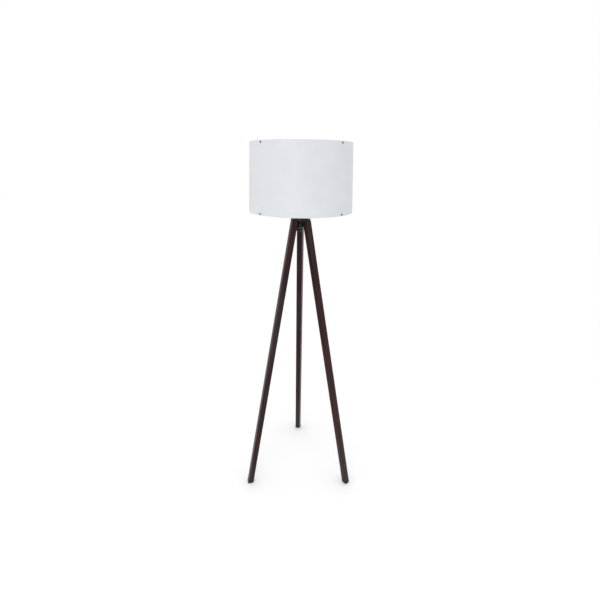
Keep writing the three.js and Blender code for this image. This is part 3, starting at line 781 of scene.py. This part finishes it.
def bulb_glass():
    low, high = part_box("bulb_glass")
    radius = (high.x - low.x) / 2
    middle = high.z - radius
    neck = 12.1 * MM
    outside = [(neck, low.z), (neck, low.z + 9 * MM)]
    start = math.radians(-42)
    shoulder = (radius * math.cos(start), middle + radius * math.sin(start))
    first = Vector((neck, low.z + 9 * MM))
    last = Vector(shoulder)
    lean = Vector((-math.sin(start), math.cos(start)))
    bend = last - lean * 16 * MM
    for step in range(1, 10):
        t = step / 10
        lifted = first + Vector((0, 8 * MM))
        a = first.lerp(lifted, t)
        b = lifted.lerp(bend, t)
        c = bend.lerp(last, t)
        point = a.lerp(b, t).lerp(b.lerp(c, t), t)
        outside.append((point.x, point.y))
    for step in range(25):
        angle = start + (math.pi / 2 - start) * step / 24
        outside.append((max(radius * math.cos(angle), 0.0), middle + radius * math.sin(angle)))
    outside[-1] = (0.0, middle + radius)
    inside = [(max(r - MM, 0.0), z - MM * (z > first.y)) for r, z in reversed(outside)]
    bm = turned(outside, 96)
    inner = turned(inside, 96)
    mesh = bpy.data.meshes.new("inner_wall")
    inner.to_mesh(mesh)
    bm.from_mesh(mesh)
    bpy.data.meshes.remove(mesh)
    bmesh.ops.bridge_loops(bm, edges=[edge for edge in bm.edges if edge.is_boundary])
    obj = object_from("bulb_glass_opal", bm, OPAL, Matrix.Translation(AXIS))
    finish_piece(obj, "bulb", "opal_glass", "bulb_glass")


# ---- CAD nodes that keep their own shape ----

def carried_over():
    finishes = {
        STEEL: ["leg_insert_back", "leg_insert_left", "leg_insert_right", "bulb_tip"],
        PLASTIC: ["bulb_insulator"],
        BRASS: ["terminal_screw_live", "terminal_screw_neutral", "centre_contact"],
        PORCELAIN: ["lampholder_core"],
    }
    for material, nodes in finishes.items():
        for node in nodes:
            mesh = frame["nodes"][node].data
            mesh.materials.clear()
            mesh.materials.append(material)
            mesh.shade_smooth()
            mesh.set_sharp_from_angle(angle=math.radians(40))


# ---- Studio ----

def camera():
    data = bpy.data.cameras.new("camera")
    data.sensor_width = 36
    data.lens = CAMERA_LENS_MM
    obj = bpy.data.objects.new("camera", data)
    turn = Matrix.Rotation(-CAMERA_YAW, 4, "Z") @ Matrix.Rotation(math.pi / 2 - CAMERA_PITCH, 4, "X")
    obj.matrix_world = Matrix.Translation(AXIS + CAMERA_OFFSET) @ turn @ Matrix.Rotation(CAMERA_ROLL, 4, "Z")
    bpy.context.scene.collection.objects.link(obj)
    bpy.context.scene.camera = obj


def softbox(name, place, target, size, power):
    data = bpy.data.lights.new(name, "AREA")
    data.shape = "RECTANGLE"
    data.size, data.size_y = size
    data.energy = power
    obj = bpy.data.objects.new(name, data)
    direction = Vector(target) - Vector(place)
    obj.matrix_world = Matrix.Translation(place) @ direction.to_track_quat("-Z", "Y").to_matrix().to_4x4()
    bpy.context.scene.collection.objects.link(obj)


def studio():
    world = bpy.data.worlds.new("studio")
    world.use_nodes = True
    background = world.node_tree.nodes["Background"]
    background.inputs["Color"].default_value = (1, 1, 1, 1)
    background.inputs["Strength"].default_value = 1.0
    bpy.context.scene.world = world
    bpy.context.scene.view_settings.view_transform = "Standard"

    surface = Surface("floor", Roughness=0.9)
    surface.feed("Base Color", surface.ramp(surface.noise(2, 3), (0.3, 0.90), (0.7, 0.92)))
    half = 12
    bm = bmesh.new()
    corners = [bm.verts.new((x, y, 0)) for x, y in ((-half, -half), (half, -half), (half, half), (-half, half))]
    bm.faces.new(corners)
    floor = object_from("floor", bm, surface.material)

    softbox("key", (-0.9, -3.4, 1.0), (0, 0, 1.2), (1.8, 1.8), 27)
    overhead = bpy.data.lights.new("overhead", "SUN")
    overhead.energy = 0.36
    overhead.angle = math.radians(100)
    bpy.context.scene.collection.objects.link(bpy.data.objects.new("overhead", overhead))


shade_sheet()
for spider_node, hole in SPIDER_HOLES.items():
    spider(spider_node, hole)
shade_screws()
legs()
hub()
nipple()
hex_nut("nipple_upper_nut")
hex_nut("nipple_lower_nut")
washer()
cord_inlet()
lampholder_cap()
lampholder_shell()
shade_ring()
screw_sleeve()
bulb_base()
bulb_glass()
carried_over()
camera()
studio()
